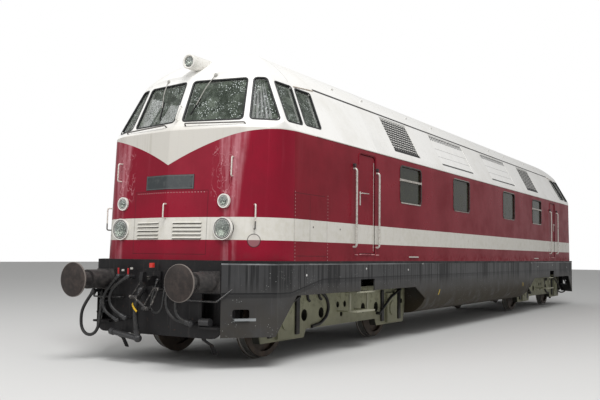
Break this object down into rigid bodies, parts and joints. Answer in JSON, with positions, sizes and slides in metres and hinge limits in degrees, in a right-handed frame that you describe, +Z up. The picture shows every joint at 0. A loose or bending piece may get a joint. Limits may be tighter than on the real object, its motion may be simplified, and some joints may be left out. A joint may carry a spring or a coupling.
{
  "type": "diesel locomotive",
  "caption": "Diesel-hydraulic locomotive with a cab at each end, faired skirts, and two two-axle bogies that swivel under the body.",
  "frame": {"origin": "under the middle of the locomotive, at the lowest points of the wheel flanges; the rail head is at z = 0.030 m", "axes": "+X towards the leading cab, +Y to its left, +Z up"},
  "size_m": [19.46, 3.156, 4.4005],
  "materials": {
    "body_paint": "gloss enamel, deep red with a white band, weathered",
    "roof_paint": "gloss white enamel with grime",
    "skirt_grey": "dark grey paint with dark runs",
    "frame_black": "black paint, oily",
    "bogie_paint": "cream grey paint, dusty",
    "buffer_steel": "bare greased steel",
    "wheel_steel": "brown steel, bright on the tread",
    "light_metal": "light painted tube",
    "grille_dark": "white grille over a dark inside",
    "glass": "clear with a green cast, dusty",
    "cab_lining": "grey green paint",
    "seat_cover": "dark artificial leather",
    "engine_paint": "grey green engine paint",
    "lamp_rim": "white rim round dark reflector",
    "hose_rubber": "black rubber, dusty",
    "signal_red": "red paint",
    "coupling_steel": "worn steel, greasy"
  },
  "bodies": {
    "body": {"underframe": "frame_black", "headstocks": "frame_black", "buffers": "buffer_steel", "drawhooks": "frame_black", "side_skirts": "skirt_grey", "corner_skirts": "skirt_grey", "belly": "skirt_grey", "cab_shell_1": "body_paint", "cab_shell_2": "body_paint", "side_wall_left": "body_paint", "side_wall_right": "body_paint", "roof_hatches": "roof_paint", "roof_vents": "roof_paint", "slope_grilles": "grille_dark", "slope_louvres": "roof_paint", "cab_glass": "glass", "side_window_glass": "glass", "window_frames": "light_metal", "cab_floors": "cab_lining", "driving_desks": "cab_lining", "seat_stands": "frame_black", "cab_seats": "seat_cover", "engines": "engine_paint", "headlamps": "lamp_rim", "roof_lamps": "lamp_rim", "door_handrails": "light_metal", "door_hinges": "light_metal", "brake_hoses": "hose_rubber", "jumper_hoses": "hose_rubber", "heating_hoses": "hose_rubber", "hose_fittings": "frame_black", "cock_handles": "signal_red", "couplings": "coupling_steel", "end_handrails": "light_metal", "nose_louvres": "body_paint"},
    "bogie_1": {"bogie_frame_1": "bogie_paint", "axleboxes_1": "bogie_paint", "brakes_1": "frame_black", "bogie_gear_1": "frame_black"},
    "bogie_2": {"bogie_frame_2": "bogie_paint", "axleboxes_2": "bogie_paint", "brakes_2": "frame_black", "bogie_gear_2": "frame_black"},
    "wheelset_1": {"wheels_1": "wheel_steel", "axle_1": "wheel_steel"},
    "wheelset_2": {"wheels_2": "wheel_steel", "axle_2": "wheel_steel"},
    "wheelset_3": {"wheels_3": "wheel_steel", "axle_3": "wheel_steel"},
    "wheelset_4": {"wheels_4": "wheel_steel", "axle_4": "wheel_steel"},
    "door_1_left": {"door_1_left": "body_paint"},
    "door_1_right": {"door_1_right": "body_paint"},
    "door_2_left": {"door_2_left": "body_paint"},
    "door_2_right": {"door_2_right": "body_paint"}
  },
  "joints": [
    {"name": "bogie_1_swivel", "type": "hinge", "parent": "body", "child": "bogie_1", "pos_m": [6.05, 0, 0.85], "axis": [0, 0, 1], "range_deg": [-3.5, 3.5]},
    {"name": "bogie_2_swivel", "type": "hinge", "parent": "body", "child": "bogie_2", "pos_m": [-6.05, 0, 0.85], "axis": [0, 0, 1], "range_deg": [-3.5, 3.5]},
    {"name": "wheelset_1_roll", "type": "hinge", "parent": "bogie_1", "child": "wheelset_1", "pos_m": [7.8, 0, 0.53], "axis": [0, 1, 0], "continuous": true},
    {"name": "wheelset_2_roll", "type": "hinge", "parent": "bogie_1", "child": "wheelset_2", "pos_m": [4.3, 0, 0.53], "axis": [0, 1, 0], "continuous": true},
    {"name": "wheelset_3_roll", "type": "hinge", "parent": "bogie_2", "child": "wheelset_3", "pos_m": [-4.3, 0, 0.53], "axis": [0, 1, 0], "continuous": true},
    {"name": "wheelset_4_roll", "type": "hinge", "parent": "bogie_2", "child": "wheelset_4", "pos_m": [-7.8, 0, 0.53], "axis": [0, 1, 0], "continuous": true},
    {"name": "door_1_left_hinge", "type": "hinge", "parent": "body", "child": "door_1_left", "pos_m": [5.738, 1.427, 2.22], "axis": [0, 0, -1], "range_deg": [0, 90]},
    {"name": "door_1_right_hinge", "type": "hinge", "parent": "body", "child": "door_1_right", "pos_m": [5.738, -1.427, 2.22], "axis": [0, 0, 1], "range_deg": [0, 90]},
    {"name": "door_2_left_hinge", "type": "hinge", "parent": "body", "child": "door_2_left", "pos_m": [-5.738, 1.427, 2.22], "axis": [0, 0, 1], "range_deg": [0, 90]},
    {"name": "door_2_right_hinge", "type": "hinge", "parent": "body", "child": "door_2_right", "pos_m": [-5.738, -1.427, 2.22], "axis": [0, 0, -1], "range_deg": [0, 90]}
  ]
}
